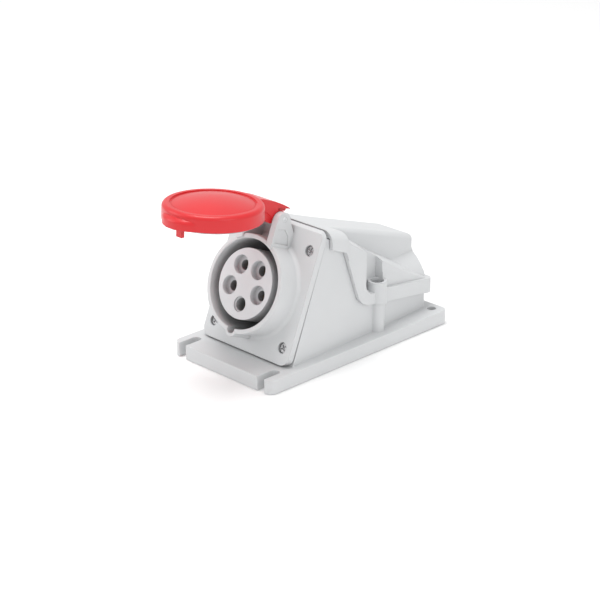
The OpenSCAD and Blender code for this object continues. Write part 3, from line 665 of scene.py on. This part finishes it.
def finger_lip():
    """The wide lip under the lid's front: it stands out from the skirt and fades into it at both ends."""
    low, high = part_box("hinge_pin")
    pin = (Vector(low) + Vector(high)) / 2
    turn = Matrix.Rotation(math.radians(-LID_TILT), 3, "X")
    root = DISC_RADIUS - LIP_ROOT
    offset = DISC_RADIUS + LIP_OUT - LIP_RADIUS
    rings = []
    for degrees in range(-LIP_SPAN, LIP_SPAN + 1, LIP_PITCH):
        bearing = math.radians(degrees)
        front = offset * math.cos(bearing) + math.sqrt(LIP_RADIUS ** 2 - (offset * math.sin(bearing)) ** 2)
        ring = []
        for out, up in lip_section(root, front):
            place = Vector((out * math.sin(bearing), DISC_PLACE - out * math.cos(bearing), DISC_FOOT + up))
            ring.append(pin + turn @ place)
        rings.append(ring)
    return loft(rings)


def reshaped(name, piece, added, removed):
    """A copy of a CAD node with some solids added to it and others cut out of it."""
    plain = NODES[name].data.copy()
    copy = new_object(piece, plain)
    for operation, tools in (("UNION", added), ("DIFFERENCE", removed)):
        for tool in tools:
            cut = copy.modifiers.new("cut", "BOOLEAN")
            cut.operation = operation
            cut.solver = "EXACT"
            cut.object = tool
    graph = bpy.context.evaluated_depsgraph_get()
    mesh = bpy.data.meshes.new_from_object(copy.evaluated_get(graph))
    copy.modifiers.clear()
    copy.data = mesh
    bpy.data.meshes.remove(plain)
    # Removing a tool's mesh removes its object too
    for tool in added + removed:
        bpy.data.meshes.remove(tool.data)
    return copy


class SOCKET_OT_housing(bpy.types.Operator):
    """Finish the box, and make the rounded mouldings of the rear cover and the socket flange"""

    bl_idname = "socket.housing"
    bl_label = "Grey housing"

    def execute(self, context):
        values = context.scene.socket_plastic
        grey = moulded_plastic("housing plastic", values.housing_colour, values.housing_roughness,
                               values.grain, values.soft_edge)
        # The flange's copy of the housing grey has painted shade in its deep gaps
        shaded_collar_grey = moulded_plastic("flange plastic with painted gap shade", values.housing_colour, values.housing_roughness,
                                      values.grain, values.soft_edge, painted_gap_shade=True)

        def cover_radius(edge):
            return trunk_rounding(edge, values.trunk_radius) or crest_rounding(edge, values.crest_radius)

        dress(["base_box"], grey)
        soften(NODES["base_box"], values.edge)
        moulded_copy("rear_cover", "cover_shell", grey, values.shell_edge, COVER_STEPS,
                     widest=values.trunk_radius, own_radius=cover_radius)
        moulded_copy("socket_flange", "flange_moulding", shaded_collar_grey, values.shell_edge, FLANGE_STEPS,
                     widest=values.shell_edge)
        return {"FINISHED"}


class SOCKET_OT_carrier(bpy.types.Operator):
    """Finish the contact carrier and the terminal holder"""

    bl_idname = "socket.carrier"
    bl_label = "Contact carrier"

    def execute(self, context):
        values = context.scene.socket_plastic
        # The carrier's plastic has painted shade in its deep gaps
        pale = moulded_plastic("carrier plastic with painted gap shade", values.carrier_colour, values.insert_roughness,
                               values.grain, values.edge, painted_gap_shade=True)
        dark = moulded_plastic("holder plastic", values.holder_colour, values.insert_roughness,
                               values.grain, values.edge)
        dress(["contact_carrier"], pale)
        dress(["terminal_holder"], dark)
        for name in ("contact_carrier", "terminal_holder"):
            soften(NODES[name], values.edge * INSERT_SHARE)
        return {"FINISHED"}


class SOCKET_OT_lid(bpy.types.Operator):
    """Make the red lid with its wide finger lip, and with the lugs and recesses of its arm"""

    bl_idname = "socket.lid"
    bl_label = "Red lid"

    def execute(self, context):
        values = context.scene.socket_plastic
        red = moulded_plastic("lid plastic", values.lid_colour, values.lid_roughness,
                              values.grain, values.soft_edge, swing=0.04, gloss=values.lid_gloss)
        dress(["lid"], red)
        spaces = mirrored_prisms(TIP_SPACE, TIP_PLACE)
        lugs = mirrored_prisms(LUG_SIDE, LUG_PLACE)
        lid = reshaped("lid", "lid_moulding", [finger_lip(), *lugs], spaces)
        soften(lid, values.edge * LID_SHARE)
        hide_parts("lid")
        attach(lid, "lid")
        return {"FINISHED"}


class SOCKET_OT_metal(bpy.types.Operator):
    """Finish the screws, the pin, the spring and the contact sleeves"""

    bl_idname = "socket.metal"
    bl_label = "Metal pieces"

    def execute(self, context):
        values = context.scene.socket_metal
        steel = plated_steel("plated steel", values.steel_colour)
        brass = turned_brass("brass", values.brass_colour)
        dress(["cover_screws", "flange_screws", "holder_screws", "terminal_screws"], steel)
        dress(["sleeve_rings", "lid_spring"], steel)
        dress(["hinge_pin"], plated_steel("satin pin", values.pin_colour))
        dress(["sleeve_l1", "sleeve_l2", "sleeve_l3", "sleeve_neutral", "sleeve_earth"], brass)
        for name in ("cover_screws", "flange_screws", "hinge_pin"):
            soften(NODES[name], values.metal_edge, SMALL_STEPS)
        return {"FINISHED"}


class SOCKET_OT_spring(bpy.types.Operator):
    """Make a smooth-shaded copy of the lid's coil spring, which has one leg on the flange and the other on
    the lid's arm
    """

    bl_idname = "socket.spring"
    bl_label = "Lid spring"

    def execute(self, context):
        spring = new_object("coil_spring", NODES["lid_spring"].data.copy())
        spring.data.shade_smooth()
        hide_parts("lid_spring")
        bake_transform(spring)
        return {"FINISHED"}


class SOCKET_OT_rubber(bpy.types.Operator):
    """Finish the seals and the cable grommet"""

    bl_idname = "socket.rubber"
    bl_label = "Rubber pieces"

    def execute(self, context):
        values = context.scene.socket_metal
        dark = soft_rubber("seal rubber", values.rubber_colour)
        pale = soft_rubber("lid ring rubber", values.ring_colour, bloom_lift=1.2)
        grey = soft_rubber("flange gasket", values.gasket_colour)
        dress(["cover_seal", "cable_grommet"], dark)
        dress(["flange_seal"], grey)
        dress(["lid_seal"], pale)
        for name in ("cable_grommet", "lid_seal"):
            soften(NODES[name], values.rubber_edge, SMALL_STEPS)
        return {"FINISHED"}


def aim(thing, target):
    """Turns a camera or lamp towards a point."""
    way = Vector(target) - thing.location
    thing.rotation_mode = "QUATERNION"
    thing.rotation_quaternion = way.to_track_quat("-Z", "Y")


def studio_floor(colour):
    """A wide, pale floor just under the part."""
    mesh = bpy.data.meshes.new("studio floor")
    corners = [(FLOOR_REACH * x, FLOOR_REACH * y, 0) for x, y in ((-1, -1), (1, -1), (1, 1), (-1, 1))]
    mesh.from_pydata(corners, [], [(0, 1, 2, 3)])
    mesh.materials.append(floor_paint("studio floor paint", colour))
    floor = new_object("studio_floor", mesh)
    floor.location.z = -FLOOR_DROP


def backdrop(strength):
    """Even white light from all around."""
    world = bpy.data.worlds.new("studio")
    world.use_nodes = True
    back = world.node_tree.nodes["Background"]
    back.inputs["Color"].default_value = (1.0, 1.0, 1.0, 1.0)
    back.inputs["Strength"].default_value = strength
    bpy.context.scene.world = world


def softbox(name, place, width, power):
    """A square lamp that faces the part."""
    data = bpy.data.lights.new(name, "AREA")
    data.shape = "SQUARE"
    data.size = width
    data.energy = power
    lamp = new_object(name, data)
    lamp.location = place
    aim(lamp, LAMP_AIM)


def photo_camera(place, target, lens):
    """The camera at the photograph's viewing angle."""
    data = bpy.data.cameras.new("camera")
    data.lens = lens
    data.sensor_width = SENSOR_WIDTH
    data.clip_start = NEAR_SIGHT
    data.clip_end = FAR_SIGHT
    camera = new_object("camera", data)
    camera.location = place
    aim(camera, target)
    bpy.context.scene.camera = camera


class SOCKET_OT_stage(bpy.types.Operator):
    """Make the floor, the backdrop light, the lamps and the camera"""

    bl_idname = "socket.stage"
    bl_label = "Studio"

    def execute(self, context):
        values = context.scene.socket_studio
        studio_floor(values.floor_colour)
        backdrop(values.backdrop_light)
        for name, place, width, power in SOFTBOXES:
            softbox(name, place, width, power)
        photo_camera(values.camera_place, values.camera_aim, values.lens)
        context.scene.view_settings.view_transform = "Standard"
        return {"FINISHED"}


class SOCKET_PT_panel(bpy.types.Panel):
    """Sidebar list of the socket's steps"""

    bl_idname = "SOCKET_PT_panel"
    bl_label = "Angled socket"
    bl_space_type = "VIEW_3D"
    bl_region_type = "UI"
    bl_category = "Socket"

    def draw(self, context):
        for operator in STEPS:
            self.layout.operator(operator.bl_idname)


SETTINGS = (
    ("socket_plastic", PlasticSettings),
    ("socket_metal", MetalSettings),
    ("socket_studio", StudioSettings),
)
STEPS = (
    SOCKET_OT_housing,
    SOCKET_OT_carrier,
    SOCKET_OT_lid,
    SOCKET_OT_metal,
    SOCKET_OT_spring,
    SOCKET_OT_rubber,
    SOCKET_OT_stage,
)


def register():
    """Registers the settings, the steps and the panel."""
    for name, group in SETTINGS:
        bpy.utils.register_class(group)
        setattr(bpy.types.Scene, name, bpy.props.PointerProperty(type=group))
    for step in STEPS:
        bpy.utils.register_class(step)
    bpy.utils.register_class(SOCKET_PT_panel)


def unregister():
    """Removes the panel, the steps and the settings."""
    bpy.utils.unregister_class(SOCKET_PT_panel)
    for step in reversed(STEPS):
        bpy.utils.unregister_class(step)
    for name, group in reversed(SETTINGS):
        delattr(bpy.types.Scene, name)
        bpy.utils.unregister_class(group)


def main():
    """Runs every step in order."""
    register()
    bpy.ops.socket.housing()
    bpy.ops.socket.carrier()
    bpy.ops.socket.lid()
    bpy.ops.socket.metal()
    # The spring's own mesh carries its steel by now
    bpy.ops.socket.spring()
    bpy.ops.socket.rubber()
    bpy.ops.socket.stage()


if __name__ == "__main__":
    main()
